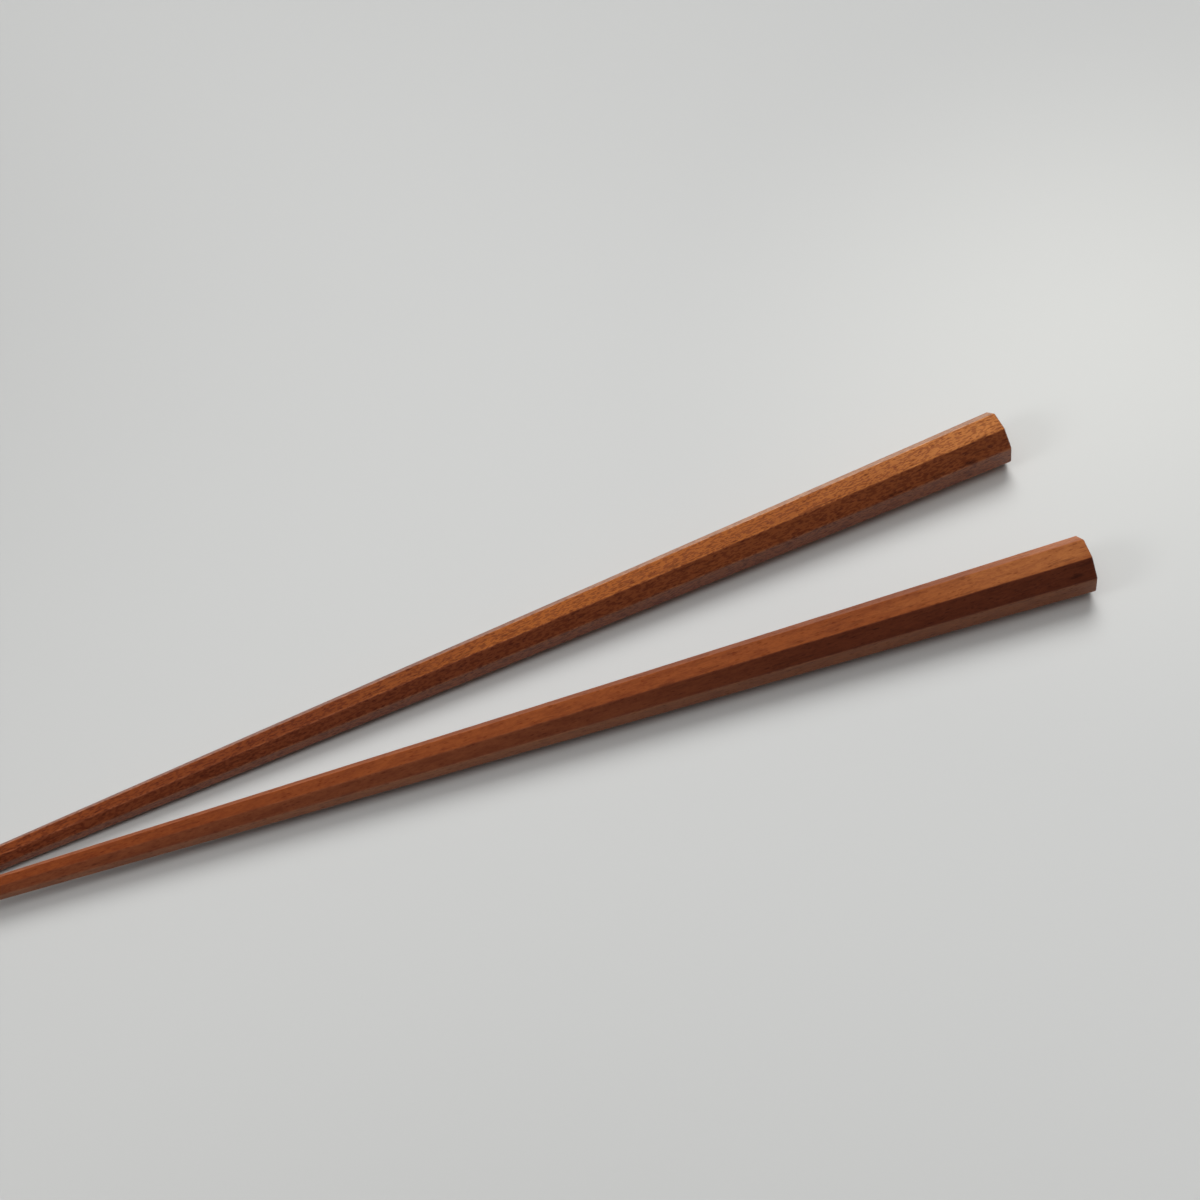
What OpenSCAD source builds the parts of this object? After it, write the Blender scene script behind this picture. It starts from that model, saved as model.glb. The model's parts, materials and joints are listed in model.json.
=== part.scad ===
// Pair of octagonal chopsticks, each shaped from one straight piece of hardwood.
// Both taper evenly from butt to tip. The far stick lies flat on one facet. The near stick
// rests on the lower rim of its butt and, close to its tip, on the top facet of the far stick.
// X runs from the tips to the butts along the middle of the V, Y to the far stick and Z up.
// The origin is on the table, below the middle of the pair.

/* [Stick] */
// Length of each stick, end to end
stick_l = 230; // [180:1:270]
// Width over the flats at the butt, the thick end
butt_w = 8.6; // [6.5:0.1:11]
// Width over the flats at the tip, the thin end
tip_w = 2.3; // [1.7:0.1:3.5]

/* [Edges] */
// Width of the narrow flat that eases each long edge
arris_w = 0.3; // [0.1:0.05:0.5]
// Width of the chamfer round the rim of the butt
butt_chamfer = 0.2; // [0.15:0.05:1]
// Radius round the rim of the tip
tip_r = 0.6; // [0.3:0.05:0.75]

/* [Lay of the pair] */
// Angle between the two sticks, seen from above
spread = 7; // [4:0.1:15]
// Distance of the far tip from the point where the two axes cross, seen from above
far_setback = 0.5; // [0:0.1:4]
// Distance of the near tip from the same point
near_setback = 2.5; // [0:0.1:4]
// Air between the near stick and the far one, where they come closest
seat_gap = 0.03; // [0.01:0.01:0.1]

/* [Hidden] */

SIDES = 8;
// Straight pieces in a quarter of a round rim
ARC_STEPS = 4;
// Length by which the slabs that cut the facets run past each end
SLAB_EXTRA = 5;
// Length by which the chamfer's faces run past the butt
CHAMFER_EXTRA = 1;
// Distance between the places at which the near stick's height is worked out
SEAT_STEP = 0.1;

// Half of the angle that one facet takes up round the axis
half_turn = 180 / SIDES;
// Width that the stick gains for each millimetre from the tip towards the butt
taper = (butt_w - tip_w) / stick_l;
// Angle between the axis and a facet, which is how far the axis leans when a facet lies flat
lean = atan(taper / 2);
// Depth that the narrow flats take off each long edge
arris_depth = arris_w / 2 * tan(half_turn);

// Half the width over two opposite edges, if they were sharp, where the stick is w over its facets
function half_corner(w) = w / 2 / cos(half_turn);

// The same over the narrow flats that ease those edges
function half_arris(w) = half_corner(w) - arris_depth;

// Width of a stick at a distance from the crossing point
function width_at(distance, setback) = tip_w + taper * (distance - setback);

// Half the width over the facets where the butt's chamfer begins
heel_half = (butt_w - taper * butt_chamfer) / 2;
// End of the flat underside at the butt, for a stick that lies on a facet
heel = (stick_l - butt_chamfer) * cos(lean) + heel_half * sin(lean);

// Height between the axes of two sticks of width w at which they just touch, with their axes
// the given distance apart in plan. They clear each other square to one of their faces.
function touching_height(w, apart) = min([
    for (i = [0 : SIDES / 2 - 1])
        let (a = half_turn * i)
        ((i % 2 == 0 ? w : 2 * half_arris(w)) - apart * sin(a)) / cos(a)
]);

// Angle that the near stick needs at a distance from the crossing point, none where both lie
// side by side
function needed_raise(distance) =
    let (
        far_w = width_at(distance, far_setback),
        near_w = width_at(distance, near_setback),
        mean_w = (far_w + near_w) / 2,
        apart = 2 * distance * sin(spread / 2),
        lift = touching_height(mean_w, apart) + (far_w - near_w) / 2 + seat_gap
    )
    apart > mean_w ? 0 : atan(lift / (near_setback + heel - distance));

// Angle by which the near stick's tip is raised
tip_raise = max([
    for (distance = [near_setback : SEAT_STEP : stick_l / 2]) needed_raise(distance)
]);

// Middle of the pair in X and Y, measured from the crossing point
middle = [
    (far_setback + near_setback + stick_l) / 2 * cos(spread / 2),
    (far_setback - near_setback) / 2 * sin(spread / 2)
];

// Quarter of a circle round [x, y], anticlockwise from the start angle
function quarter(x, y, r, start) = [
    for (i = [0 : ARC_STEPS])
        let (a = start + 90 * i / ARC_STEPS)
        [x + r * cos(a), y + r * sin(a)]
];

// Round blank that the facets are cut from. It is as wide as their edges would be if they were
// sharp. Its rounded end gives the stick the rim of its tip, and its flat one the butt's end.
module blank() {
    rotate([0, 90, 0])
        rotate_extrude($fn = 96)
            polygon(concat(
                [[0, 0]],
                quarter(half_corner(tip_w) - tip_r, tip_r, tip_r, -90),
                [[half_corner(butt_w), stick_l], [0, stick_l]]
            ));
}

// Point on the side of a slab, at a distance from the tip, for these half widths at both ends
function side_of(tip_half, butt_half, distance) =
    [distance, tip_half + (butt_half - tip_half) * distance / stick_l];

// Slab between two opposite faces, whose upper side in the XZ plane runs through the given
// points. It is wide enough to hold the whole stick.
module slab(side) {
    rotate([90, 0, 0])
        linear_extrude(height = 2 * butt_w, center = true)
            polygon(concat(side, [for (i = [len(side) - 1 : -1 : 0]) [side[i].x, -side[i].y]]));
}

// Slab between two wide facets, with the chamfer round the butt's rim
module facet_slab() {
    rim = side_of(tip_w / 2, butt_w / 2, stick_l - butt_chamfer);
    past = butt_chamfer + CHAMFER_EXTRA;
    slab([side_of(tip_w / 2, butt_w / 2, -SLAB_EXTRA), rim, rim + [past, -past]]);
}

// Slab between two of the narrow flats that ease the long edges
module arris_slab() {
    slab([
        for (distance = [-SLAB_EXTRA, stick_l + SLAB_EXTRA])
            side_of(half_arris(tip_w), half_arris(butt_w), distance)
    ]);
}

// Octagonal taper with eased edges: what slabs turned about the axis have in common
module octagon_taper() {
    intersection_for(i = [0 : SIDES - 1])
        rotate([half_turn * i, 0, 0])
            if (i % 2 == 0)
                facet_slab();
            else
                arris_slab();
}

// One stick along X with its tip at the origin
module stick() {
    intersection() {
        blank();
        octagon_taper();
    }
}

// The stick with its lowest facet flat on the table
module lying_stick() {
    translate([0, 0, tip_w / 2 * cos(lean)])
        rotate([0, -lean, 0])
            stick();
}

// The lying stick with its tip raised, turned about the rim of its butt that stays on the table
module raised_stick() {
    translate([heel, 0, 0])
        rotate([0, tip_raise, 0])
            translate([-heel, 0, 0])
                lying_stick();
}

// Turns a stick about the crossing point and moves its tip away from that point
module lay(turn, setback) {
    translate([-middle.x, -middle.y, 0])
        rotate([0, 0, turn])
            translate([setback, 0, 0])
                children();
}

module far_chopstick() {
    color([0.62, 0.33, 0.17])
        lay(spread / 2, far_setback)
            lying_stick();
}

module near_chopstick() {
    color([0.52, 0.26, 0.15])
        lay(-spread / 2, near_setback)
            raised_stick();
}

far_chopstick();
near_chopstick();
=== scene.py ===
"""Dresses a pair of octagonal hardwood chopsticks and sets them on a plain pale table.

Each stick is lofted along its own axis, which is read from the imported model, and gets a wood
that is solid all through: its figure, pores and streaks run out in the ends as they do on the
real stick. Lengths are in metres, apart from those whose names end in _mm. The finishes of the
sticks work in millimetres throughout, from the tip of the stick.
"""

import json
import logging
import math
from dataclasses import dataclass, field
from enum import Enum

import bpy
import numpy as np
from mathutils import Matrix, Vector

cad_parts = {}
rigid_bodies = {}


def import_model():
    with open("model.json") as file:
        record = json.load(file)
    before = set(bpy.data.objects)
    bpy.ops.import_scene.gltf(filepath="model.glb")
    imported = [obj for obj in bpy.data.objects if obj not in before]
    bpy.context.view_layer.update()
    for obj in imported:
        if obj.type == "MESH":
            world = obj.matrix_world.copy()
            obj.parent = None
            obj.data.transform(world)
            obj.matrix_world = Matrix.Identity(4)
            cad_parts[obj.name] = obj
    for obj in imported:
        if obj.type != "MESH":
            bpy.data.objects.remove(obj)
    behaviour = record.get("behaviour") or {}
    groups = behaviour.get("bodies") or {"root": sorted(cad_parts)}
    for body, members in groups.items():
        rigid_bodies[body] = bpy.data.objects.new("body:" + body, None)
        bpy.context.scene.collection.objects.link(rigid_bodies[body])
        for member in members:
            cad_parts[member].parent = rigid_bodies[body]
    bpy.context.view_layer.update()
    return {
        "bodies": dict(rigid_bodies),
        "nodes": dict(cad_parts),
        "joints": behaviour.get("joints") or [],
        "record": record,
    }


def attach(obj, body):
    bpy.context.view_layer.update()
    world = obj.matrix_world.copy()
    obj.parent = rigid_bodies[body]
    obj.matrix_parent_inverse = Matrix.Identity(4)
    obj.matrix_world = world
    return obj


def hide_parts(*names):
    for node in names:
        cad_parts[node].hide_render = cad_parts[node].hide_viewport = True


LOG = logging.getLogger("chopsticks")

MM = 0.001

# Names of the values that each stick's mesh carries for its finish
PLACE = "stick_place"
EDGE = "edge_distance"
END = "end_grain"

# Cosines of the angles within which a packed face counts as one of those looked for
NEAR_AN_END = 0.9
IN_A_FLAT_END = math.cos(math.radians(4))
IN_THE_TOP_FACET = math.cos(math.radians(3))

Colour = tuple[float, float, float]
Triple = tuple[float, float, float]
Range = tuple[float, float]
# Points of a mesh ring in the stick's own frame, each with its distance in millimetres from the
# nearest edge
Ring = list[tuple[Triple, float]]

# Turns from the stick's axis to the fibres, in degrees: they run out slowly, so pores look short
FIBRE_SLOPE: Triple = (0.0, 1.4, -2.2)


class End(Enum):
    """The two ends of a stick, with the sign of the way along the axis to each."""

    TIP = -1
    BUTT = 1


@dataclass(frozen=True)
class Axis:
    """A stick's own frame and its widths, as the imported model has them.

    Along runs from the tip to the butt, up is square to it and as near to vertical as it can
    be, and across completes the three. The half widths are those over two opposite facets.
    """

    tip: Vector
    along: Vector
    across: Vector
    up: Vector
    length: float
    tip_half: float
    butt_half: float

    @classmethod
    def read(cls, node: bpy.types.Object) -> "Axis":
        """Reads the frame from the flat ends and the topmost facet of a packed stick.

        Args:
            node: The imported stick.

        Returns:
            Its frame and half widths.
        """
        tip = cls.end_centre(node, End.TIP)
        butt = cls.end_centre(node, End.BUTT)
        along = (butt - tip).normalized()
        across = Vector((0.0, 0.0, 1.0)).cross(along).normalized()
        up = along.cross(across)
        facet = [p for p in node.data.polygons if p.normal.dot(up) > IN_THE_TOP_FACET]
        corners = {i for p in facet for i in p.vertices}
        places = [node.data.vertices[i].co - tip for i in corners]
        slope, start = np.polyfit([p.dot(along) for p in places], [p.dot(up) for p in places], 1)
        length = (butt - tip).length
        return cls(tip, along, across, up, length, float(start), float(start + slope * length))

    @staticmethod
    def end_centre(node: bpy.types.Object, end: End) -> Vector:
        """Finds the middle of a stick's flat end.

        Args:
            node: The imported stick.
            end: Which end.

        Returns:
            The middle of the flat part of that end.
        """
        steep = [p for p in node.data.polygons if p.normal.x * end.value > NEAR_AN_END]
        facing = sum((p.normal * p.area for p in steep), Vector()).normalized()
        flat = [p for p in steep if p.normal.dot(facing) > IN_A_FLAT_END]
        area = sum(p.area for p in flat)
        return sum((p.center * p.area for p in flat), Vector()) / area

    def place(self, x: float, y: float, z: float) -> Vector:
        """Returns the point at these distances along, across and up from the tip's middle."""
        return self.tip + self.along * x + self.across * y + self.up * z

    def half_width(self, x: float) -> float:
        """Returns half the width over two opposite facets at a distance from the tip."""
        share = x / self.length
        return self.tip_half * (1 - share) + self.butt_half * share


class NodeSheet:
    """Adds and links nodes in one tree, so that a finish reads as a list of steps."""

    def __init__(self, tree: bpy.types.NodeTree) -> None:
        """Takes the tree to work in."""
        self.tree = tree

    @classmethod
    def of(cls, owner: bpy.types.Material | bpy.types.World) -> "NodeSheet":
        """Gives a material or a world nodes, clears them and returns their sheet."""
        owner.use_nodes = True
        owner.node_tree.nodes.clear()
        return cls(owner.node_tree)

    def add(self, kind: str, **settings: object) -> bpy.types.Node:
        """Adds a node.

        Args:
            kind: Its type, such as ShaderNodeMix.
            settings: Its properties and their values.

        Returns:
            The new node.
        """
        node = self.tree.nodes.new(kind)
        for name, value in settings.items():
            setattr(node, name, value)
        return node

    def feed(self, socket: bpy.types.NodeSocket, value: object) -> None:
        """Links a socket to an output, or sets it to a plain value.

        Args:
            socket: The input to feed.
            value: An output socket, a number, or a vector or colour as a tuple.
        """
        if isinstance(value, bpy.types.NodeSocket):
            self.tree.links.new(value, socket)
        elif isinstance(value, tuple) and socket.type == "RGBA" and len(value) == 3:
            socket.default_value = (*value, 1.0)
        else:
            socket.default_value = value

    def math(self, operation: str, *values: object) -> bpy.types.NodeSocket:
        """Adds a Math node.

        Args:
            operation: What it does, such as MULTIPLY.
            values: What goes in, as outputs or numbers.

        Returns:
            Its output.
        """
        node = self.add("ShaderNodeMath", operation=operation)
        for socket, value in zip(node.inputs, values):
            self.feed(socket, value)
        return node.outputs[0]

    def vector(self, operation: str, *values: object, out: str = "Vector") -> bpy.types.NodeSocket:
        """Adds a Vector Math node.

        Args:
            operation: What it does, such as ADD.
            values: What goes in, as outputs or tuples.
            out: The name of the output that is wanted.

        Returns:
            That output.
        """
        node = self.add("ShaderNodeVectorMath", operation=operation)
        for socket, value in zip(node.inputs, values):
            self.feed(socket, value)
        return node.outputs[out]

    def ramp(self, value: object, low: object, high: object) -> bpy.types.NodeSocket:
        """Maps a value from a range to 0 to 1, with soft ends.

        Args:
            value: What is mapped.
            low: The value that gives 0.
            high: The value that gives 1.

        Returns:
            The mapped value.
        """
        node = self.add("ShaderNodeMapRange", interpolation_type="SMOOTHSTEP")
        for name, given in (("Value", value), ("From Min", low), ("From Max", high)):
            self.feed(node.inputs[name], given)
        return node.outputs["Result"]

    def mix(self, share: object, first: object, second: object, blend: str = "MIX") -> bpy.types.NodeSocket:
        """Mixes two colours.

        Args:
            share: How much of the second shows, from 0 to 1.
            first: The colour below.
            second: The colour above.
            blend: The way they are mixed, such as MULTIPLY.

        Returns:
            The mixed colour.
        """
        node = self.add("ShaderNodeMix", data_type="RGBA", blend_type=blend)
        factor = next(s for s in node.inputs if s.name == "Factor" and s.type == "VALUE")
        below, above = [s for s in node.inputs if s.type == "RGBA"]
        self.feed(factor, share)
        self.feed(below, first)
        self.feed(above, second)
        return next(s for s in node.outputs if s.type == "RGBA")

    def noise(
        self, place: object, cell_mm: Triple, detail: float, roughness: float = 0.5
    ) -> bpy.types.NodeSocket:
        """Adds a noise in cells of a given size.

        Args:
            place: The place that it is read at, in millimetres.
            cell_mm: How long, wide and high a cell is.
            detail: How many finer layers it has.
            roughness: How strong the finer layers are.

        Returns:
            Its value, mostly from 0.3 to 0.7.
        """
        cells = self.vector("DIVIDE", place, cell_mm)
        node = self.add("ShaderNodeTexNoise")
        self.feed(node.inputs["Vector"], cells)
        node.inputs["Scale"].default_value = 1.0
        node.inputs["Detail"].default_value = detail
        node.inputs["Roughness"].default_value = roughness
        return node.outputs[0]

    def place(self) -> bpy.types.NodeSocket:
        """Returns the place in the stick, in millimetres."""
        return self.add("ShaderNodeAttribute", attribute_name=PLACE).outputs["Vector"]

    def carried(self, name: str) -> bpy.types.NodeSocket:
        """Returns a single value that the stick's mesh carries."""
        return self.add("ShaderNodeAttribute", attribute_name=name).outputs["Fac"]

    def grain_place(self, offset: object) -> bpy.types.NodeSocket:
        """Reads the place in the stick and turns it to the way that the fibres run.

        Args:
            offset: Where in the log the stick was cut, in millimetres.

        Returns:
            The place in the log, in millimetres, with the fibres along X.
        """
        place = self.place()
        turned = self.add("ShaderNodeMapping")
        self.feed(turned.inputs["Vector"], place)
        turned.inputs["Rotation"].default_value = tuple(math.radians(a) for a in FIBRE_SLOPE)
        return self.vector("ADD", turned.outputs["Vector"], offset)


class Effect:
    """A node group with named inputs and outputs, built once and placed in several finishes.

    Each kind of effect names its group. It gives every input a default, which is a number, a
    vector or a colour of four values, and every output its kind of socket.
    """

    NAME: str
    INPUTS: dict[str, object]
    OUTPUTS: dict[str, str] = {"Mask": "NodeSocketFloat"}

    def __init__(self) -> None:
        """Makes the group and fills it."""
        self.tree = bpy.data.node_groups.new(self.NAME, "ShaderNodeTree")
        self.sheet = NodeSheet(self.tree)
        for title, default in self.INPUTS.items():
            kind = self.kind_of(default)
            socket = self.tree.interface.new_socket(title, in_out="INPUT", socket_type=kind)
            socket.default_value = default
        for title, kind in self.OUTPUTS.items():
            self.tree.interface.new_socket(title, in_out="OUTPUT", socket_type=kind)
        self.given = self.sheet.add("NodeGroupInput").outputs
        self.made = self.sheet.add("NodeGroupOutput").inputs
        self.build()

    @staticmethod
    def kind_of(default: object) -> str:
        """Returns the kind of socket that holds a default like this."""
        if isinstance(default, tuple):
            return "NodeSocketColor" if len(default) == 4 else "NodeSocketVector"
        return "NodeSocketFloat"

    def build(self) -> None:
        """Fills the group. Each effect has its own."""
        raise NotImplementedError

    def into(self, sheet: NodeSheet, **values: object) -> bpy.types.Node:
        """Places the group in a finish.

        Args:
            sheet: The finish's nodes.
            values: The inputs that differ from the defaults.

        Returns:
            The group's node there.
        """
        node = sheet.add("ShaderNodeGroup", node_tree=self.tree)
        for name, value in values.items():
            sheet.feed(node.inputs[name], value)
        return node


class PaintedLightMask(Effect):
    """Where painted light and shade change the wood's colour: on one side of the stick, over part of its
    length.
    """

    NAME = "Painted light zone"
    INPUTS = {"Side": (0.0, 0.0, 0.0), "Start": -1.0, "From": 0.0, "To": 1.0, "Ragged": 0.5}
    # Cells in which the rim wanders, and how far it does so along the stick
    RIM_CELL_MM: Triple = (14.0, 1.6, 1.6)
    WANDER_MM = 40.0

    def build(self) -> None:
        """Ramps across the stick and along it, with a rim that wanders."""
        s = self.sheet
        place = s.place()
        wander = s.math("SUBTRACT", s.noise(place, self.RIM_CELL_MM, detail=3.0), 0.5)
        wander = s.math("MULTIPLY", wander, self.given["Ragged"])
        across = s.vector("DOT_PRODUCT", place, self.given["Side"], out="Value")
        across = s.math("ADD", s.math("SUBTRACT", across, self.given["Start"]), wander)
        along = s.add("ShaderNodeSeparateXYZ")
        s.feed(along.inputs[0], place)
        x = s.math("ADD", along.outputs["X"], s.math("MULTIPLY", wander, self.WANDER_MM))
        ends = s.ramp(x, self.given["From"], self.given["To"])
        s.feed(self.made["Mask"], s.math("MULTIPLY", s.ramp(across, 0.0, 1.0), ends))


class Figure(Effect):
    """The figure in the wood: soft growth bands, fibres, short flecks and a mottling."""

    NAME = "Wood figure"
    INPUTS = {
        "Ground": (0.3, 0.1, 0.03, 1.0),
        "Shade": (0.5, 0.4, 0.4, 1.0),
        "Offset": (0.0, 0.0, 0.0),
        "Bands": 0.3,
        "Fibres": 0.3,
        "Flecks": 0.3,
        "Mottling": 0.3,
    }
    OUTPUTS = {"Color": "NodeSocketColor", "Relief": "NodeSocketFloat"}
    # Growth layers are shells round the heart of the log, which lies well outside the stick, and
    # the warp shifts them by up to so many layers
    HEART_MM: Triple = (0.0, 31.0, 17.0)
    LAYER_MM = 1.9
    WARP_CELL_MM: Triple = (45.0, 5.0, 5.0)
    WARP_LAYERS = 3.2
    FIBRE_CELL_MM: Triple = (7.0, 0.15, 0.15)
    FLECK_CELL_MM: Triple = (0.85, 0.28, 0.28)
    MOTTLE_CELL_MM: Triple = (3.4, 0.9, 0.9)
    # Values of each pattern between which it comes up
    BAND_RANGE: Range = (0.15, 0.95)
    FIBRE_RANGE: Range = (0.38, 0.66)
    FLECK_RANGE: Range = (0.49, 0.56)
    MOTTLE_RANGE: Range = (0.38, 0.66)

    def build(self) -> None:
        """Shades the ground by the four layers."""
        s = self.sheet
        place = s.grain_place(self.given["Offset"])
        warp = s.noise(place, self.WARP_CELL_MM, detail=2.0)
        flat = s.vector("MULTIPLY", place, (0.0, 1.0, 1.0))
        from_heart = s.vector("LENGTH", s.vector("ADD", flat, self.HEART_MM), out="Value")
        shift = s.math("MULTIPLY", warp, self.WARP_LAYERS)
        layer = s.math("ADD", s.math("DIVIDE", from_heart, self.LAYER_MM), shift)
        fibre = s.noise(place, self.FIBRE_CELL_MM, detail=2.0, roughness=0.6)
        fleck = s.noise(place, self.FLECK_CELL_MM, detail=1.0)
        mottle = s.noise(place, self.MOTTLE_CELL_MM, detail=3.0, roughness=0.6)
        dark: object = 0.0
        for pattern, shown, amount in (
            (s.math("PINGPONG", layer, 1.0), self.BAND_RANGE, "Bands"),
            (fibre, self.FIBRE_RANGE, "Fibres"),
            (fleck, self.FLECK_RANGE, "Flecks"),
            (mottle, self.MOTTLE_RANGE, "Mottling"),
        ):
            mask = s.ramp(pattern, *shown)
            dark = s.math("ADD", dark, s.math("MULTIPLY", mask, self.given[amount]))
        shaded = s.mix(s.math("MINIMUM", dark, 1.0), self.given["Ground"], self.given["Shade"], "MULTIPLY")
        s.feed(self.made["Color"], shaded)
        s.feed(self.made["Relief"], fibre)


class Pores(Effect):
    """Short open pores, long drops lying in the fibres, which show as dots in the ends."""

    NAME = "Wood pores"
    INPUTS = {"Cell": (1.0, 0.26, 0.26), "Offset": (0.0, 0.0, 0.0), "Share": 0.6, "Size": 0.42}
    # Size of the smallest pores, beside the usual, and share of a pore that is dark throughout
    SMALLEST = 0.5
    CORE = 0.45

    def build(self) -> None:
        """Puts a drop in some of the cells of a random lattice, each of its own size."""
        s = self.sheet
        place = s.grain_place(self.given["Offset"])
        cells = s.vector("DIVIDE", place, self.given["Cell"])
        lattice = s.add("ShaderNodeTexVoronoi", voronoi_dimensions="3D", feature="F1")
        s.feed(lattice.inputs["Vector"], cells)
        lattice.inputs["Scale"].default_value = 1.0
        chance = s.add("ShaderNodeSeparateColor")
        s.feed(chance.inputs["Color"], lattice.outputs["Color"])
        there = s.math("LESS_THAN", chance.outputs["Red"], self.given["Share"])
        growth = s.math("ADD", chance.outputs["Green"], self.SMALLEST)
        size = s.math("MULTIPLY", self.given["Size"], growth)
        inner = s.math("MULTIPLY", size, self.CORE)
        drop = s.math("SUBTRACT", 1.0, s.ramp(lattice.outputs["Distance"], inner, size))
        s.feed(self.made["Mask"], s.math("MULTIPLY", there, drop))


class Streaks(Effect):
    """Irregular dark threads that come and go along the grain."""

    NAME = "Wood streaks"
    INPUTS = {"Offset": (0.0, 0.0, 0.0), "Amount": 0.5}
    THREAD_CELL_MM: Triple = (4.5, 0.42, 0.42)
    THREAD_RANGE: Range = (0.52, 0.66)
    PATCH_CELL_MM: Triple = (16.0, 2.2, 2.2)
    PATCH_RANGE: Range = (0.46, 0.62)

    def build(self) -> None:
        """Cuts threads from one noise and lets them through where another allows."""
        s = self.sheet
        place = s.grain_place(self.given["Offset"])
        thread = s.noise(place, self.THREAD_CELL_MM, detail=4.0, roughness=0.62)
        patch = s.noise(place, self.PATCH_CELL_MM, detail=1.0)
        threads = s.ramp(thread, *self.THREAD_RANGE)
        shown = s.math("MULTIPLY", threads, s.ramp(patch, *self.PATCH_RANGE))
        s.feed(self.made["Mask"], s.math("MULTIPLY", shown, self.given["Amount"]))


class Mark(Effect):
    """One dark fleck of figure at a given place in the stick, torn up along the grain."""

    NAME = "Wood mark"
    INPUTS = {"Middle": (0.0, 0.0, 0.0), "Reach": (2.5, 0.6, 0.6), "Amount": 1.0}
    TORN_CELL_MM: Triple = (1.3, 0.3, 0.3)
    # How much the tearing moves the rim, and how soft the rim is, both in reaches
    TEARING = 2.0
    RIM = 0.7

    def build(self) -> None:
        """Fades out from the middle, with a rim broken up by a noise."""
        s = self.sheet
        place = s.place()
        torn = s.noise(place, self.TORN_CELL_MM, detail=3.0, roughness=0.65)
        away = s.vector("DIVIDE", s.vector("SUBTRACT", place, self.given["Middle"]), self.given["Reach"])
        distance = s.vector("LENGTH", away, out="Value")
        inside = s.math("SUBTRACT", s.math("MULTIPLY", torn, self.TEARING), distance)
        shown = s.ramp(inside, 0.0, self.RIM)
        s.feed(self.made["Mask"], s.math("MULTIPLY", shown, self.given["Amount"]))


class WearAndSheen(Effect):
    """Where handling has rubbed the edges and a painted highlight runs along them: strongest on the narrow
    flats, and uneven.
    """

    NAME = "Edge wear and sheen"
    INPUTS = {"Reach": 0.22, "Amount": 0.5}
    BREAK_CELL_MM: Triple = (2.2, 0.6, 0.6)
    BREAK_RANGE: Range = (0.3, 0.62)
    # Share of the reach over which the wear and the painted highlight are whole
    WHOLE = 0.4

    def build(self) -> None:
        """Fades with the distance from the nearest edge and breaks up along it."""
        s = self.sheet
        edge = s.carried(EDGE)
        broken = s.noise(s.place(), self.BREAK_CELL_MM, detail=3.0, roughness=0.6)
        inner = s.math("MULTIPLY", self.given["Reach"], self.WHOLE)
        near = s.math("SUBTRACT", 1.0, s.ramp(edge, inner, self.given["Reach"]))
        shown = s.math("MULTIPLY", near, s.ramp(broken, *self.BREAK_RANGE))
        s.feed(self.made["Mask"], s.math("MULTIPLY", shown, self.given["Amount"]))


class Satin(Effect):
    """How rough the oiled surface is: uneven from handling, and open in the pores."""

    NAME = "Satin oil"
    INPUTS = {"Roughness": 0.42, "Unevenness": 0.12, "Pores": 0.0}
    OUTPUTS = {"Roughness": "NodeSocketFloat"}
    PATCH_CELL_MM: Triple = (7.0, 2.5, 2.5)
    # Roughness that a pore adds
    OPEN = 0.2

    def build(self) -> None:
        """Adds slow unevenness and the pores to the plain roughness."""
        s = self.sheet
        patch = s.noise(s.place(), self.PATCH_CELL_MM, detail=3.0)
        swing = s.math("MULTIPLY", s.math("SUBTRACT", patch, 0.5), self.given["Unevenness"])
        rough = s.math("ADD", self.given["Roughness"], swing)
        opened = s.math("MULTIPLY", self.given["Pores"], self.OPEN)
        s.feed(self.made["Roughness"], s.math("ADD", rough, opened))


@dataclass(frozen=True)
class Effects:
    """The effects that both woods share."""

    painted_zone: PaintedLightMask = field(default_factory=PaintedLightMask)
    figure: Figure = field(default_factory=Figure)
    pores: Pores = field(default_factory=Pores)
    streaks: Streaks = field(default_factory=Streaks)
    mark: Mark = field(default_factory=Mark)
    wear_and_sheen: WearAndSheen = field(default_factory=WearAndSheen)
    satin: Satin = field(default_factory=Satin)


@dataclass(frozen=True)
class DarkFleck:
    """A dark mark in the wood, by its place in the stick and its half sizes, in millimetres."""

    middle_mm: Triple
    reach_mm: Triple
    amount: float = 1.0


@dataclass(frozen=True)
class PaintedLightZone:
    """A part of the stick whose colour carries painted light and shade, facet by facet and along it.

    It begins where the product of the place and the side vector passes the start, and is whole
    a unit further on. Along the stick it grows from one distance from the tip to another, and
    the second may be the smaller one. As it is given here, it is whole everywhere.
    """

    colour: Colour
    side: Triple = (0.0, 0.0, 0.0)
    start: float = -2.0
    begins_mm: float = -60.0
    whole_mm: float = -50.0
    ragged: float = 0.5


# Relief of the wood: depth of the pores, how far the fibres stand out beside that, and how much
# of it all shows
PORE_DEPTH = 0.03 * MM
FIBRE_SHARE = 0.25
RELIEF_SHOWN = 0.5
OIL_IOR = 1.5


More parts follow.
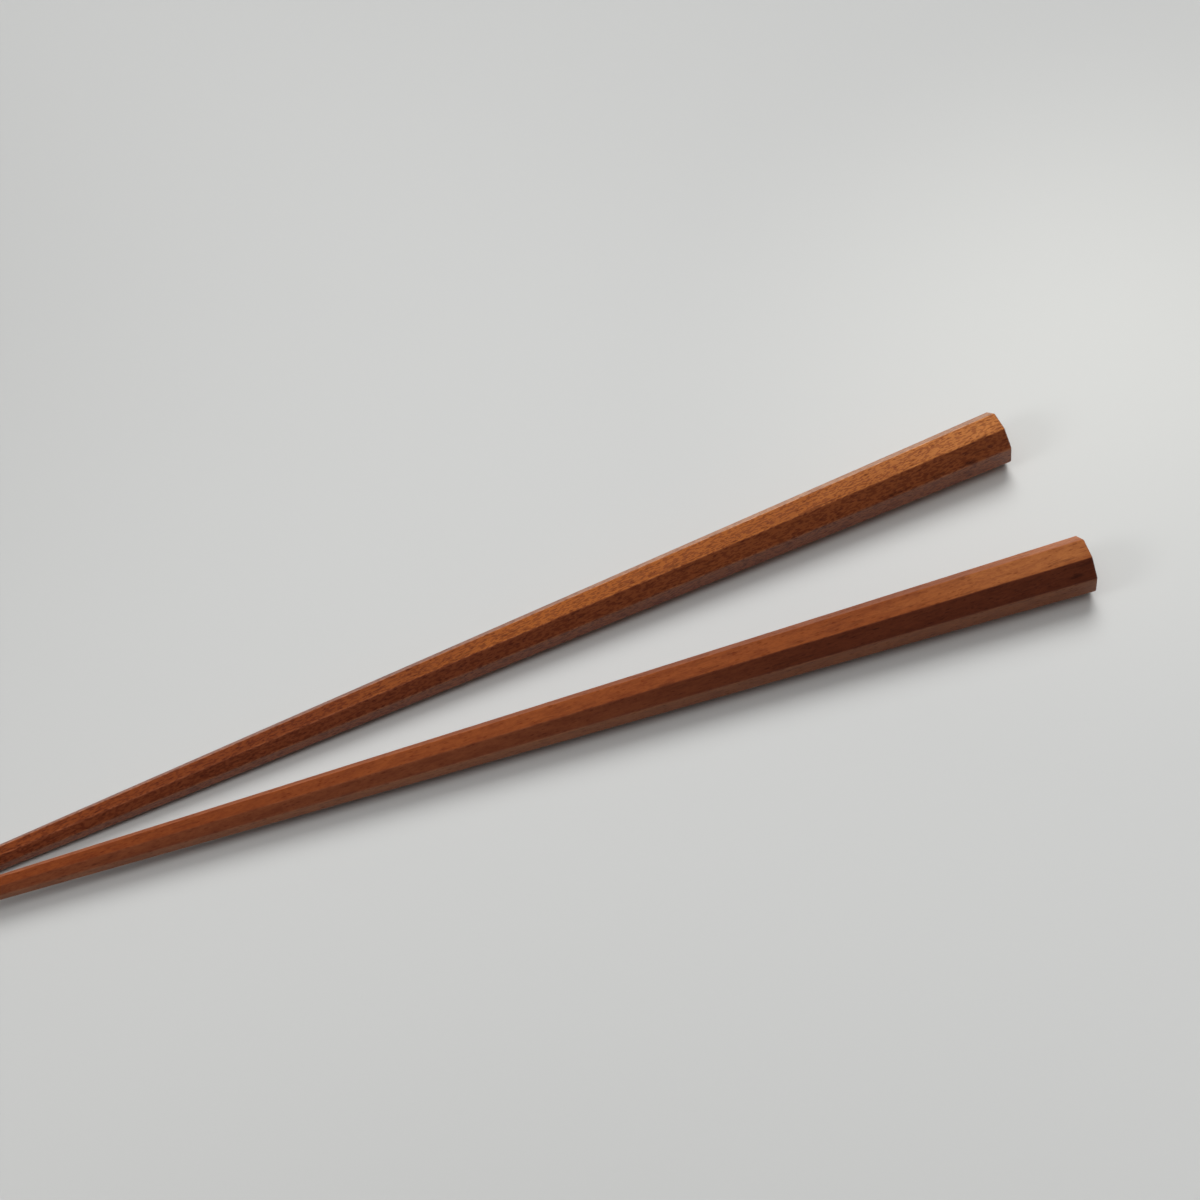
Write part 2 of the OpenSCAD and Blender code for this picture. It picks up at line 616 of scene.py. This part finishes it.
@dataclass(frozen=True)
class OiledWood:
    """A reddish-brown hardwood with a satin oiled surface.

    The ground is the wood's own colour in plain light of strength 1, and zones of painted light and shade
    lie over it. Shade, streak and pore are what that colour is multiplied by, and so is the worn tint, which
    lightens worn edges and paints a highlight along them.
    """

    name: str
    ground: Colour
    end_grain: Colour
    shade: Colour
    streak: Colour
    pore: Colour
    wear_and_sheen_tint: Colour
    offset_mm: Triple
    pore_share: float
    pore_amount: float
    streak_amount: float
    wear_and_sheen_amount: float
    bands: float
    fibres: float
    fine_flecks: float
    mottling: float
    roughness: float
    gloss: float
    painted_light_zones: tuple[PaintedLightZone, ...] = ()
    flecks: tuple[DarkFleck, ...] = ()

    def material(self, effects: Effects) -> bpy.types.Material:
        """Builds the material.

        Args:
            effects: The node groups that it is put together from.

        Returns:
            The finished material.
        """
        material = bpy.data.materials.new(self.name)
        sheet = NodeSheet.of(material)
        figure = effects.figure.into(
            sheet,
            Ground=self.zoned(sheet, effects),
            Shade=self.shade,
            Offset=self.offset_mm,
            Bands=self.bands,
            Fibres=self.fibres,
            Flecks=self.fine_flecks,
            Mottling=self.mottling,
        )
        pores = effects.pores.into(sheet, Offset=self.offset_mm, Share=self.pore_share).outputs["Mask"]
        streaks = self.streaked(sheet, effects)
        wear_and_sheen = effects.wear_and_sheen.into(sheet, Amount=self.wear_and_sheen_amount).outputs["Mask"]
        colour = sheet.mix(streaks, figure.outputs["Color"], self.streak, "MULTIPLY")
        # Lightens the edges: wear, and a painted highlight of the light along them
        colour = sheet.mix(wear_and_sheen, colour, self.wear_and_sheen_tint, "MULTIPLY")
        colour = sheet.mix(sheet.math("MULTIPLY", pores, self.pore_amount), colour, self.pore, "MULTIPLY")
        rough = effects.satin.into(sheet, Roughness=self.roughness, Pores=pores).outputs["Roughness"]
        self.surface(sheet, colour, rough, self.relief(sheet, pores, figure.outputs["Relief"]))
        return material

    def zoned(self, sheet: NodeSheet, effects: Effects) -> bpy.types.NodeSocket:
        """Lays the zones of painted light and shade over the ground, one after the other, and the end grain
        last.

        Args:
            sheet: The material's nodes.
            effects: The node groups.

        Returns:
            The colour before any figure.
        """
        colour: object = self.ground
        for painted_zone in self.painted_light_zones:
            mask = effects.painted_zone.into(
                sheet,
                Side=painted_zone.side,
                Start=painted_zone.start,
                From=painted_zone.begins_mm,
                To=painted_zone.whole_mm,
                Ragged=painted_zone.ragged,
            ).outputs["Mask"]
            colour = sheet.mix(mask, colour, painted_zone.colour)
        return sheet.mix(sheet.carried(END), colour, self.end_grain)

    def streaked(self, sheet: NodeSheet, effects: Effects) -> bpy.types.NodeSocket:
        """Joins the streaks and the dark flecks into one mask.

        Args:
            sheet: The material's nodes.
            effects: The node groups.

        Returns:
            The mask.
        """
        mask = effects.streaks.into(sheet, Offset=self.offset_mm, Amount=self.streak_amount).outputs["Mask"]
        for fleck in self.flecks:
            mark = effects.mark.into(
                sheet, Middle=fleck.middle_mm, Reach=fleck.reach_mm, Amount=fleck.amount
            )
            mask = sheet.math("MAXIMUM", mask, mark.outputs["Mask"])
        return mask

    @staticmethod
    def relief(sheet: NodeSheet, pores: object, fibres: object) -> bpy.types.NodeSocket:
        """Sinks the pores and lets the fibres stand out a little.

        Args:
            sheet: The material's nodes.
            pores: The mask of the pores.
            fibres: The fibres' own pattern.

        Returns:
            The normal that the shader takes.
        """
        height = sheet.math("SUBTRACT", sheet.math("MULTIPLY", fibres, FIBRE_SHARE), pores)
        bump = sheet.add("ShaderNodeBump")
        bump.inputs["Strength"].default_value = RELIEF_SHOWN
        bump.inputs["Distance"].default_value = PORE_DEPTH
        sheet.feed(bump.inputs["Height"], height)
        return bump.outputs["Normal"]

    def surface(self, sheet: NodeSheet, colour: object, rough: object, normal: object) -> None:
        """Adds the shader and the output.

        Args:
            sheet: The material's nodes.
            colour: The base colour.
            rough: The roughness.
            normal: The normal.
        """
        shader = sheet.add("ShaderNodeBsdfPrincipled")
        sheet.feed(shader.inputs["Base Color"], colour)
        sheet.feed(shader.inputs["Roughness"], rough)
        sheet.feed(shader.inputs["Normal"], normal)
        shader.inputs["IOR"].default_value = OIL_IOR
        shader.inputs["Specular IOR Level"].default_value = self.gloss
        out = sheet.add("ShaderNodeOutputMaterial")
        sheet.feed(out.inputs["Surface"], shader.outputs["BSDF"])


def show(name: str, data: bpy.types.ID) -> bpy.types.Object:
    """Puts a mesh, lamp or camera in the scene under this name and returns its object."""
    shown = bpy.data.objects.new(name, data)
    bpy.context.scene.collection.objects.link(shown)
    return shown


@dataclass
class Chopstick:
    """One stick: an octagonal taper with eased edges, a rounded tip and a chamfered butt."""

    name: str
    node: str
    slot: str
    finish: OiledWood
    seed: int
    arris_width: float = 0.3 * MM
    tip_radius: float = 0.6 * MM
    butt_chamfer: float = 0.2 * MM
    sides: int = 8
    station_gap: float = 0.8 * MM
    rim_steps: int = 8
    # Places of the mesh rings along the butt's chamfer, in widths of it from where it begins
    chamfer_lines: tuple[float, ...] = (-2.0, -0.8, -0.25, 0.0, 0.25, 0.6, 1.0)
    facet_points: int = 6
    # Places of the mesh lines over a narrow flat, in half widths of it from its middle
    arris_lines: tuple[float, ...] = (-2.2, -1.35, -0.9, -0.45, 0.0, 0.45, 0.9, 1.35, 2.2)
    # Depth that the plane iron left off a facet here and there, and the usual length of a pass
    planing_depth: float = 0.012 * MM
    planing_length: float = 17.0 * MM
    # How gently two faces run into each other
    easing: float = 0.012 * MM
    # Sizes of the rings inside a flat end, in shares of its rim
    cap_rings: tuple[float, ...] = (0.985, 0.93, 0.8, 0.6, 0.4, 0.2)
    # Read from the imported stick, and drawn for it, when it is built
    axis: Axis = field(init=False)
    passes: list[np.ndarray] = field(init=False)

    def build(self, frame: dict, effects: Effects) -> bpy.types.Object:
        """Makes the stick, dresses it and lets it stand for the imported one.

        Args:
            effects: The node groups for the finish.

        Returns:
            The finished piece.
        """
        self.axis = Axis.read(frame["nodes"][self.node])
        self.passes = self.plane_passes()
        piece = self.skin(self.rings())
        piece.data.materials.append(self.finish.material(effects))
        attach(piece, "root")
        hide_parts(self.node)
        LOG.info("%s: %.1f mm long, %d faces", self.name, self.axis.length / MM, len(piece.data.polygons))
        return piece

    @property
    def half_turn(self) -> float:
        """Half of the angle that one facet takes up round the axis."""
        return math.pi / self.sides

    def plane_passes(self) -> list[np.ndarray]:
        """Draws how deep each facet was planed, from the tip to the butt.

        Returns:
            For each facet, shares of the planing depth at even steps along the stick.
        """
        draw = np.random.default_rng(self.seed)
        steps = int(self.axis.length / self.planing_length) + 2
        return [draw.random(steps) for _ in range(self.sides)]

    def planed(self, side: int, x: float) -> float:
        """Returns how much of the planing depth is off a facet at a distance from the tip."""
        place = x / self.planing_length
        low = int(place)
        share = place - low
        soft = share * share * (3 - 2 * share)
        depths = self.passes[side]
        return float(depths[low] * (1 - soft) + depths[low + 1] * soft)

    def facet_half(self, side: int, x: float) -> float:
        """Returns the distance from the axis to a facet at a distance from the tip."""
        past = (x - self.axis.length + self.butt_chamfer) / self.easing
        chamfered = self.easing * float(np.logaddexp(0.0, past))
        return self.axis.half_width(x) - self.planing_depth * self.planed(side, x) - chamfered

    def arris_half(self, x: float) -> float:
        """Returns the distance from the axis to the narrow flats at a distance from the tip."""
        corner = self.axis.half_width(x) / math.cos(self.half_turn)
        return corner - self.arris_width / 2 * math.tan(self.half_turn)

    def stations(self) -> list[tuple[float, float]]:
        """Lists the places of the mesh rings.

        Returns:
            For each ring its distance from the tip and the radius of the round blank there,
            which is wide enough to cut nothing beyond the tip's rim.
        """
        tip_blank = self.axis.tip_half / math.cos(self.half_turn)
        turns = [math.pi / 2 * i / self.rim_steps for i in range(self.rim_steps + 1)]
        rim = [
            (self.tip_radius * (1 - math.cos(a)), tip_blank - self.tip_radius * (1 - math.sin(a)))
            for a in turns
        ]
        begins = self.axis.length - self.butt_chamfer
        chamfer = [begins + self.butt_chamfer * line for line in self.chamfer_lines]
        start, stop = rim[-1][0], chamfer[0]
        count = round((stop - start) / self.station_gap)
        middle = [start + (stop - start) * i / count for i in range(1, count)]
        wide = 2 * self.axis.butt_half
        return rim + [(x, wide) for x in middle + chamfer]

    def angles(self, x: float) -> list[tuple[float, float]]:
        """Lists where the points of a ring lie round the axis.

        Args:
            x: The ring's distance from the tip.

        Returns:
            For each point its angle and its distance from the nearest arris, in millimetres.
        """
        reach = self.arris_width / 2 / self.arris_half(x)
        points = []
        for side in range(self.sides):
            corner = (2 * side + 1) * self.half_turn
            points += [(corner + reach * line, reach * line) for line in self.arris_lines]
            first = reach * self.arris_lines[-1]
            room = 2 * self.half_turn - 2 * first
            for i in range(1, self.facet_points + 1):
                turn = first + room * i / (self.facet_points + 1)
                points.append((corner + turn, min(turn, 2 * self.half_turn - turn)))
        radius = self.arris_half(x)
        return [(angle, abs(away) * radius / MM) for angle, away in points]

    def radius(self, angle: float, x: float, blank: float) -> float:
        """Works out how far the surface is from the axis.

        Args:
            angle: The way round the axis.
            x: The distance from the tip.
            blank: The radius of the round blank there.

        Returns:
            The smallest of what the facets, the narrow flats and the blank leave, with the
            joins between them eased.
        """
        width = 2 * self.half_turn
        side = round(angle / width)
        reaches = [blank]
        for near in (side - 1, side, side + 1):
            turn = angle - near * width
            reaches.append(self.facet_half(near % self.sides, x) / math.cos(turn))
        for near in (side - 0.5, side + 0.5):
            reaches.append(self.arris_half(x) / math.cos(angle - near * width))
        least = min(reaches)
        total = sum(math.exp((least - reach) / self.easing) for reach in reaches)
        return least - self.easing * math.log(total)

    def rings(self) -> list[Ring]:
        """Works out every ring of the loft, from the tip to the butt."""
        made = []
        for x, blank in self.stations():
            from_tip = x / MM
            ring = []
            for angle, from_arris in self.angles(x):
                r = self.radius(angle, x, blank)
                point = (x, -r * math.sin(angle), r * math.cos(angle))
                ring.append((point, min(from_arris, from_tip)))
            made.append(ring)
        return made

    def cap(self, ring: Ring) -> list[Ring]:
        """Draws the flat end inside its rim as smaller and smaller rings.

        Args:
            ring: The last ring of the rim.

        Returns:
            The rings from the outermost inwards.
        """
        x = ring[0][0][0]
        rim = math.hypot(*ring[0][0][1:])
        rings = []
        for share in self.cap_rings:
            inside = rim * (1 - share) / MM
            rings.append([((x, y * share, z * share), inside) for (_, y, z), _ in ring])
        return rings

    def skin(self, rings: list[Ring]) -> bpy.types.Object:
        """Joins the rings into one closed mesh, with the values that the finish reads.

        Args:
            rings: The rings from the tip to the butt.

        Returns:
            The new object, at the origin with its place in its mesh.
        """
        tip_cap, butt_cap = self.cap(rings[0])[::-1], self.cap(rings[-1])
        shells = tip_cap + rings + butt_cap
        points = [point for ring in shells for point, _ in ring]
        edges = [away for ring in shells for _, away in ring]
        ends = [
            share
            for part, share in ((tip_cap, 1.0), (rings, 0.0), (butt_cap, 1.0))
            for ring in part
            for _ in ring
        ]
        for (x, y, z), _ in (shells[0][0], shells[-1][0]):
            points.append((x, 0.0, 0.0))
            edges.append(math.hypot(y, z) / MM)
            ends.append(1.0)
        mesh = bpy.data.meshes.new(self.name)
        places = [self.axis.place(*point) for point in points]
        mesh.from_pydata(places, [], self.faces(len(shells), len(rings[0])))
        self.store(mesh, points, edges, ends)
        mesh.polygons.foreach_set("use_smooth", [True] * len(mesh.polygons))
        mesh.update()
        return show(self.name, mesh)

    @staticmethod
    def faces(rows: int, around: int) -> list[tuple[int, ...]]:
        """Joins each ring to the next, and closes both ends round a middle point.

        Args:
            rows: How many rings there are, from the tip to the butt.
            around: How many points each ring has.

        Returns:
            The points of each face, anticlockwise as seen from outside. The middle points of
            the two ends come after the rings.
        """
        steps = [(i, (i + 1) % around) for i in range(around)]
        last = (rows - 1) * around
        tip_middle, butt_middle = rows * around, rows * around + 1
        faces = []
        for a in range(0, last, around):
            b = a + around
            faces += [(a + i, a + j, b + j, b + i) for i, j in steps]
        faces += [(tip_middle, j, i) for i, j in steps]
        faces += [(butt_middle, last + i, last + j) for i, j in steps]
        return faces

    @staticmethod
    def store(
        mesh: bpy.types.Mesh, points: list[Triple], edges: list[float], ends: list[float]
    ) -> None:
        """Writes the values that the finish reads at each point.

        Args:
            mesh: The mesh that gets them.
            points: The places in the stick's own frame.
            edges: The distances from the nearest edge, in millimetres.
            ends: 1 in the flat ends and 0 elsewhere.
        """
        place = mesh.attributes.new(PLACE, "FLOAT_VECTOR", "POINT")
        place.data.foreach_set("vector", (np.array(points) / MM).ravel())
        for name, values in ((EDGE, edges), (END, ends)):
            mesh.attributes.new(name, "FLOAT", "POINT").data.foreach_set("value", values)


@dataclass(frozen=True)
class TableTop:
    """The plain pale table, with painted light: a painted shade makes it a little darker in front, and a
    soft painted pool of light gives it a brighter tone.
    """

    # Painted light: the front tone is a painted shade, and the brighter pool tone is a painted pool of light
    front: Colour = (0.467, 0.470, 0.462)
    pale: Colour = (0.647, 0.652, 0.642)
    painted_pool_colour: Colour = (0.759, 0.764, 0.741)
    half_size: float = 12.0
    # The way from the front to the back, in metres, and where on it the painted shade gives way to the pale
    # tone
    way_back: Triple = (1.92, 1.0, 0.0)
    way_begins: float = -0.243
    way_ends: float = 0.231
    # Middle and reach of the painted pool of light
    pool_middle: Triple = (0.145, 0.030, 0.0)
    pool_reach: float = 0.090
    roughness: float = 0.55
    gloss: float = 0.2

    def build(self) -> None:
        """Makes the table."""
        mesh = bpy.data.meshes.new("table_top")
        h = self.half_size
        mesh.from_pydata([(-h, -h, 0), (h, -h, 0), (h, h, 0), (-h, h, 0)], [], [(0, 1, 2, 3)])
        table = show("table_top", mesh)
        mesh.materials.append(self.material())

    def material(self) -> bpy.types.Material:
        """Builds the table's finish.

        Returns:
            The material.
        """
        material = bpy.data.materials.new("table_finish")
        sheet = NodeSheet.of(material)
        place = sheet.add("ShaderNodeTexCoord").outputs["Object"]
        # Painted shade towards the front
        back = sheet.vector("DOT_PRODUCT", place, self.way_back, out="Value")
        tone = sheet.mix(sheet.ramp(back, self.way_begins, self.way_ends), self.front, self.pale)
        # Painted pool of light
        away = sheet.vector("DISTANCE", place, self.pool_middle, out="Value")
        pool = sheet.math("SUBTRACT", 1.0, sheet.ramp(away, 0.0, self.pool_reach))
        shader = sheet.add("ShaderNodeBsdfPrincipled")
        sheet.feed(shader.inputs["Base Color"], sheet.mix(pool, tone, self.painted_pool_colour))
        shader.inputs["Roughness"].default_value = self.roughness
        shader.inputs["Specular IOR Level"].default_value = self.gloss
        out = sheet.add("ShaderNodeOutputMaterial")
        sheet.feed(out.inputs["Surface"], shader.outputs["BSDF"])
        return material


@dataclass(frozen=True)
class SoftSun:
    """A broad light from far away. Angles are in degrees."""

    name: str
    # Compass bearing from the pair, from +X towards +Y, and height over the table
    bearing: float
    height: float
    spread: float
    strength: float

    def build(self) -> None:
        """Adds the lamp."""
        lamp = bpy.data.lights.new(self.name, "SUN")
        lamp.energy = self.strength
        lamp.angle = math.radians(self.spread)
        place_lamp(self.name, lamp, self.way(), (0.0, 0.0, 0.0))

    def way(self) -> Vector:
        """Returns the way from the pair to the middle of the light."""
        turn, rise = math.radians(self.bearing), math.radians(self.height)
        return Vector((math.cos(turn) * math.cos(rise), math.sin(turn) * math.cos(rise), math.sin(rise)))


def place_lamp(name: str, lamp: bpy.types.Light, way: Vector, place: Triple) -> None:
    """Puts a lamp in the scene and turns it. Neither the camera nor the gloss shows it.

    Args:
        name: The name of its object.
        lamp: The lamp.
        way: The way from what it lights to the lamp.
        place: Where it hangs.
    """
    shown = show(name, lamp)
    shown.location = place
    shown.rotation_mode = "QUATERNION"
    shown.rotation_quaternion = way.to_track_quat("Z", "Y")
    shown.visible_glossy = False
    shown.visible_camera = False


@dataclass(frozen=True)
class Studio:
    """Soft light from a window behind the pair, the ceiling and a weak panel over the tips."""

    window: SoftSun = SoftSun("window", bearing=66.0, height=55.0, spread=38.0, strength=2.12)
    ceiling: SoftSun = SoftSun("ceiling", bearing=-90.0, height=84.0, spread=64.0, strength=0.71)
    # The panel hangs over the tips, so its light fades towards the butts
    panel_place: Triple = (-0.11, -0.03, 0.17)
    panel_size: float = 0.10
    panel_power: float = 0.12
    # Brightness of the room at table height, in front, behind and overhead
    horizon: float = 0.55
    front: float = 0.04
    back: float = 0.12
    zenith: float = 0.12
    # Rises of the way between which the room leaves the horizon's tone and comes to that
    # overhead, and how much it has to face the window to go from the front's tone to the back's
    leaves_horizon: Range = (0.03, 0.3)
    comes_overhead: Range = (0.55, 1.0)
    faces_window: Range = (-0.6, 0.8)

    def build(self) -> None:
        """Adds the lamps and the light of the room."""
        self.window.build()
        self.ceiling.build()
        lamp = bpy.data.lights.new("panel", "AREA")
        lamp.shape = "DISK"
        lamp.size = self.panel_size
        lamp.energy = self.panel_power
        place_lamp("panel", lamp, Vector(self.panel_place), self.panel_place)
        self.room()

    def room(self) -> None:
        """Lights the world: pale all round at table height and dim above."""
        world = bpy.data.worlds.new("room")
        sheet = NodeSheet.of(world)
        bpy.context.scene.world = world
        way = sheet.add("ShaderNodeTexCoord").outputs["Generated"]
        parts = sheet.add("ShaderNodeSeparateXYZ")
        sheet.feed(parts.inputs[0], way)
        rise = parts.outputs["Z"]
        turn = math.radians(self.window.bearing)
        facing = sheet.vector("DOT_PRODUCT", way, (math.cos(turn), math.sin(turn), 0.0), out="Value")
        greys = ((tone,) * 3 for tone in (self.front, self.back, self.zenith, self.horizon))
        front, back, zenith, horizon = greys
        side = sheet.mix(sheet.ramp(facing, *self.faces_window), front, back)
        upper = sheet.mix(sheet.ramp(rise, *self.comes_overhead), side, zenith)
        tone = sheet.mix(sheet.ramp(rise, *self.leaves_horizon), horizon, upper)
        shader = sheet.add("ShaderNodeBackground")
        sheet.feed(shader.inputs["Color"], tone)
        out = sheet.add("ShaderNodeOutputWorld")
        sheet.feed(out.inputs["Surface"], shader.outputs["Background"])


@dataclass(frozen=True)
class Viewpoint:
    """The camera at the photograph's place. Angles are in degrees."""

    azimuth: float = 1.44
    elevation: float = 55.80
    roll: float = -18.31
    distance: float = 288.36 * MM
    target: Triple = (42.46 * MM, 12.89 * MM, 0.0)
    sensor_mm: float = 36.0
    # Focal length in pixels of the 1200-pixel picture
    focal_pixels: float = 1732.36
    picture_pixels: float = 1200.0
    nearest: float = 10.0 * MM

    def build(self) -> None:
        """Makes the camera and gives it to the scene."""
        a, e, roll = (math.radians(v) for v in (self.azimuth, self.elevation, self.roll))
        back = Vector((-math.sin(a) * math.cos(e), -math.cos(a) * math.cos(e), math.sin(e)))
        level = Vector((math.cos(a), -math.sin(a), 0.0))
        upright = back.cross(level)
        right = level * math.cos(roll) + upright * math.sin(roll)
        up = upright * math.cos(roll) - level * math.sin(roll)
        turned = Matrix((right, up, back)).transposed().to_4x4()
        turned.translation = Vector(self.target) + back * self.distance
        lens = bpy.data.cameras.new("camera")
        lens.sensor_fit = "HORIZONTAL"
        lens.sensor_width = self.sensor_mm
        lens.lens = self.focal_pixels * self.sensor_mm / self.picture_pixels
        lens.clip_start = self.nearest
        camera = show("camera", lens)
        camera.matrix_world = turned
        bpy.context.scene.camera = camera


# Side vectors of the zones of painted light and shade that begin at one of the sharp lines between two
# facets: in front of the top facet, below the facet in front of it, behind the top facet, and below the
# facet behind it. Such a zone grows from nothing to whole over 0.18 mm of the facet, so each facet gets its
# own painted tone for how light falls on it.
FRONT_SIDE: Triple = (0.0, -5.55, -2.295)
LOWER_SIDE: Triple = (0.0, -2.295, -5.55)
BACK_SIDE: Triple = (0.0, 5.55, -2.295)
BACK_LOWER_SIDE: Triple = (0.0, 2.295, -5.55)
# Side vector of a zone that fades in slowly over the top and the back, for the painted highlight near the
# butt
TOP_AND_BACK: Triple = (0.0, 0.22, 0.22)

FAR_WOOD = OiledWood(
    name="far_wood_finish",
    ground=(0.350, 0.097, 0.012),
    end_grain=(0.270, 0.075, 0.016),
    shade=(0.50, 0.36, 0.30),
    streak=(0.30, 0.22, 0.25),
    pore=(0.50, 0.33, 0.27),
    # Lightens worn edges and paints a highlight along them
    wear_and_sheen_tint=(1.55, 1.80, 2.10),
    offset_mm=(12.0, 3.0, 5.0),
    pore_share=0.45,
    pore_amount=0.7,
    streak_amount=0.5,
    wear_and_sheen_amount=0.75,
    bands=0.06,
    fibres=0.12,
    fine_flecks=0.65,
    mottling=0.18,
    roughness=0.42,
    gloss=0.40,
    painted_light_zones=(
        # Painted shade: the whole stick darkens towards the tip, as the window's light and sheen on the wood
        # fade
        PaintedLightZone((0.182, 0.039, 0.007), begins_mm=154.0, whole_mm=106.0, ragged=0.6),
        # Painted highlight: the top and back grow pale near the butt, for the window's coloured sheen in the
        # wood
        PaintedLightZone((0.54, 0.190, 0.041), side=TOP_AND_BACK, start=0.0, begins_mm=190.0, whole_mm=228.0),
        # Painted shade on the facet in front of the top, which the window barely reaches, deeper towards the
        # tip
        PaintedLightZone((0.236, 0.062, 0.017), side=FRONT_SIDE, start=-0.3),
        PaintedLightZone((0.168, 0.041, 0.014), side=FRONT_SIDE, start=-0.3, begins_mm=190.0, whole_mm=130.0),
        # Painted light and shade: the upright front facet gets its own tone for how light falls on it
        PaintedLightZone((0.265, 0.075, 0.020), side=LOWER_SIDE, start=-0.5),
        # Painted highlight: the narrow facet behind the top is pale, for the window mirrored in it at a low
        # angle, and less so towards the tip
        PaintedLightZone((0.53, 0.255, 0.130), side=BACK_SIDE, start=-0.5),
        PaintedLightZone((0.26, 0.090, 0.042), side=BACK_SIDE, start=-0.5, begins_mm=195.0, whole_mm=115.0),
        # Painted light and shade: the upright back facet gets its own tone, near the ground's, darker
        # towards the tip
        PaintedLightZone((0.355, 0.112, 0.026), side=BACK_LOWER_SIDE, start=-0.5),
        PaintedLightZone((0.220, 0.055, 0.013), side=BACK_LOWER_SIDE, start=-0.5, begins_mm=170.0, whole_mm=100.0),
    ),
    flecks=(
        DarkFleck((223.0, -3.9, 2.1), (2.2, 0.5, 0.4), 0.8),
        DarkFleck((217.0, -3.8, 2.2), (1.6, 0.4, 0.4), 0.9),
        DarkFleck((209.5, -3.8, 2.1), (2.0, 0.4, 0.35), 0.9),
        DarkFleck((199.0, -3.6, 2.1), (1.6, 0.35, 0.35), 0.7),
    ),
)

NEAR_WOOD = OiledWood(
    name="near_wood_finish",
    ground=(0.250, 0.061, 0.012),
    end_grain=(0.205, 0.052, 0.012),
    shade=(0.54, 0.40, 0.38),
    streak=(0.30, 0.22, 0.25),
    pore=(0.52, 0.38, 0.34),
    # Lightens worn edges and paints a highlight along them
    wear_and_sheen_tint=(1.35, 1.45, 1.60),
    offset_mm=(160.0, -9.0, 21.0),
    pore_share=0.30,
    pore_amount=0.5,
    streak_amount=0.4,
    wear_and_sheen_amount=0.4,
    bands=0.14,
    fibres=0.14,
    fine_flecks=0.22,
    mottling=0.34,
    roughness=0.50,
    gloss=0.25,
    painted_light_zones=(
        # Painted shade: the whole stick darkens towards the tip, as the window's light and sheen on the wood
        # fade
        PaintedLightZone((0.195, 0.044, 0.009), begins_mm=165.0, whole_mm=85.0, ragged=0.6),
        # Painted highlight: the top and back grow pale near the butt, for the window's coloured sheen in the
        # wood
        PaintedLightZone((0.390, 0.130, 0.034), side=TOP_AND_BACK, start=0.0, begins_mm=192.0, whole_mm=222.0),
        # Painted shade on the facet in front of the top, deeper towards the butt, where less light comes
        # from the front
        PaintedLightZone((0.183, 0.050, 0.018), side=FRONT_SIDE, start=-0.3),
        PaintedLightZone((0.110, 0.024, 0.008), side=FRONT_SIDE, start=-0.3, begins_mm=125.0, whole_mm=190.0),
        # Painted light and shade: the upright front facet gets its own tone, darker towards the butt
        PaintedLightZone((0.260, 0.088, 0.031), side=LOWER_SIDE, start=-0.5),
        PaintedLightZone((0.220, 0.068, 0.021), side=LOWER_SIDE, start=-0.5, begins_mm=125.0, whole_mm=190.0),
        # Painted highlight: the narrow facet behind the top is pale, for the window mirrored in it, and
        # paler still near the butt
        PaintedLightZone((0.325, 0.102, 0.040), side=BACK_SIDE, start=-0.5),
        PaintedLightZone((0.500, 0.172, 0.060), side=BACK_SIDE, start=-0.5, begins_mm=204.0, whole_mm=226.0),
        # Painted light and shade: the upright back facet gets its own tone, near the ground's
        PaintedLightZone((0.255, 0.066, 0.016), side=BACK_LOWER_SIDE, start=-0.5),
    ),
    flecks=(
        DarkFleck((195.0, -2.6, 3.2), (1.2, 0.5, 0.4), 0.9),
        DarkFleck((190.0, -2.2, 3.4), (1.6, 0.4, 0.3), 0.6),
        DarkFleck((227.0, -3.3, 2.7), (1.4, 0.5, 0.4), 0.7),
    ),
)


def main() -> None:
    """Builds the camera, the two sticks and the stage."""
    logging.basicConfig(level=logging.INFO, format="%(name)s %(message)s")
    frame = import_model()
    bpy.context.scene.view_settings.view_transform = "Standard"
    Viewpoint().build()
    effects = Effects()
    Chopstick("far_stick", "far_chopstick", "far_wood", FAR_WOOD, seed=3).build(frame, effects)
    Chopstick("near_stick", "near_chopstick", "near_wood", NEAR_WOOD, seed=8).build(frame, effects)
    TableTop().build()
    Studio().build()


if __name__ == "__main__":
    main()
